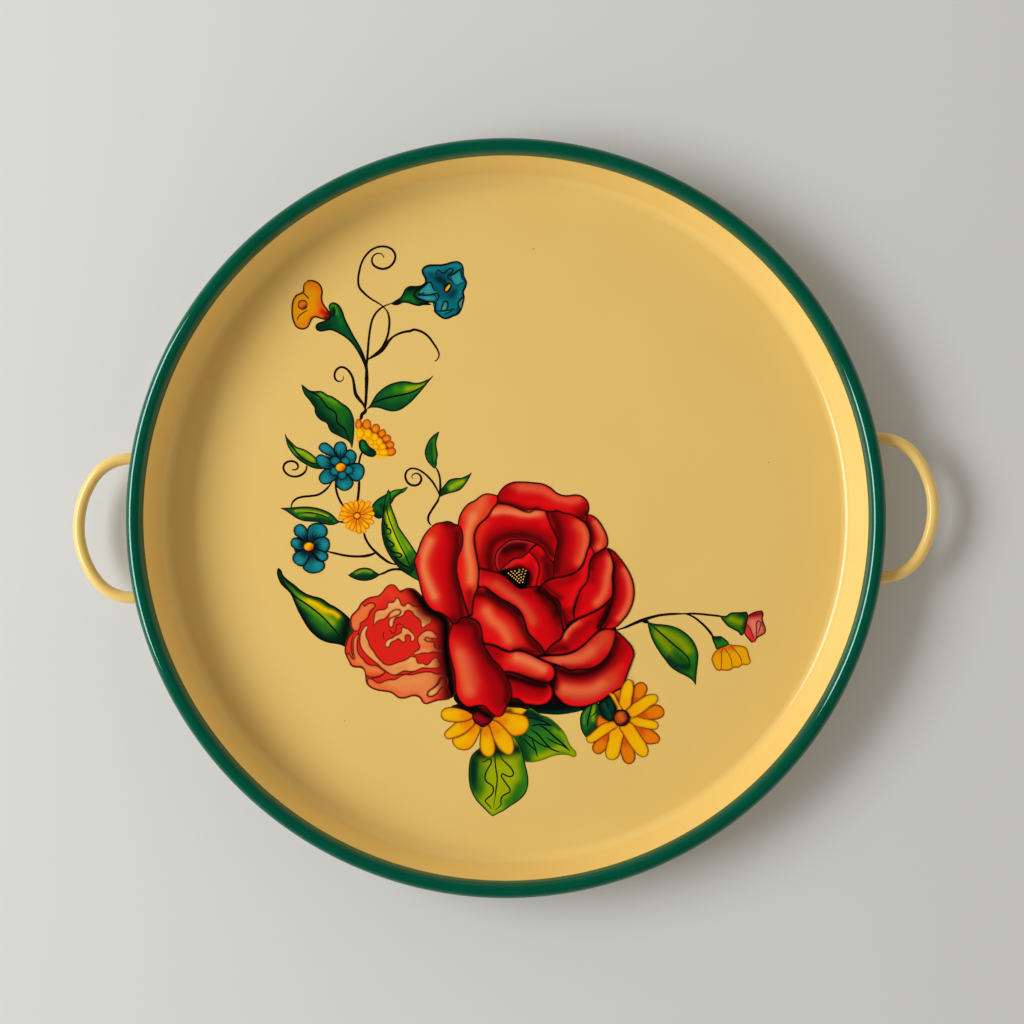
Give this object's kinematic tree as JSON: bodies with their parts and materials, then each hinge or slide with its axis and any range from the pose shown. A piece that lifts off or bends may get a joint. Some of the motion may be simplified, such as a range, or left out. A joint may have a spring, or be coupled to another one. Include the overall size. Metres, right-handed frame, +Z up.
{
  "type": "serving tray",
  "caption": "Round enamelled steel serving tray with a rolled green edge, looped side handles and a bouquet painted on its floor.",
  "frame": {"origin": "centre of the underside, on the surface that the tray stands on", "axes": "+Z up out of the dish, +X through the right-hand handle, +Y towards the top of the painted bouquet"},
  "size_m": [0.4828, 0.4198, 0.03],
  "materials": {
    "cream_enamel": "gloss",
    "green_enamel": "gloss",
    "bare_steel": "satin",
    "flower_paint": "gloss"
  },
  "bodies": {
    "root": {"tray_pan": "cream_enamel", "rim_wire": "bare_steel", "rim_band": "green_enamel", "handle_left": "cream_enamel", "handle_right": "cream_enamel", "handle_left_welds": "bare_steel", "handle_right_welds": "bare_steel"}
  },
  "joints": []
}
